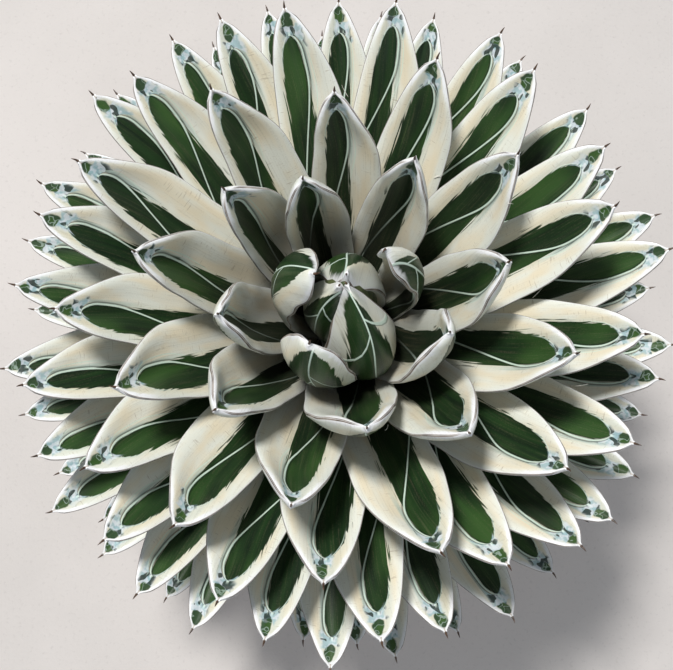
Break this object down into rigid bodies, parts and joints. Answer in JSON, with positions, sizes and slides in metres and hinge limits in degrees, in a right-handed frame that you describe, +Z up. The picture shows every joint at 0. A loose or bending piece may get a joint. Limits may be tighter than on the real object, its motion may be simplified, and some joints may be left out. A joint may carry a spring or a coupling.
{
  "type": "variegated queen victoria agave in a clay pot",
  "caption": "Potted agave: a dense domed rosette of thick, keeled, cream-edged green leaves with blunt tips and dark end spines, on a short stem in a plain clay pot.",
  "frame": {"origin": "middle of the pot's foot, on the surface that the pot stands on", "axes": "+Z up along the stem to the bud; -Y is the side nearer to the viewer in the source picture, +X is that viewer's right"},
  "size_m": [0.4356, 0.4406, 0.445],
  "materials": {
    "pot": "matte fired clay",
    "soil": "rough bark and pumice grit",
    "stem": "rough and fibrous",
    "heart": "satin",
    "leaf": "satin"
  },
  "bodies": {
    "root": {"pot": "pot", "soil": "soil", "stem": "stem", "heart": "heart", "leaf_whorl_1": "leaf", "leaf_whorl_2": "leaf", "leaf_whorl_3": "leaf", "leaf_whorl_4": "leaf", "leaf_whorl_5": "leaf", "leaf_whorl_6": "leaf", "leaf_whorl_7": "leaf", "leaf_whorl_8": "leaf"}
  },
  "joints": []
}
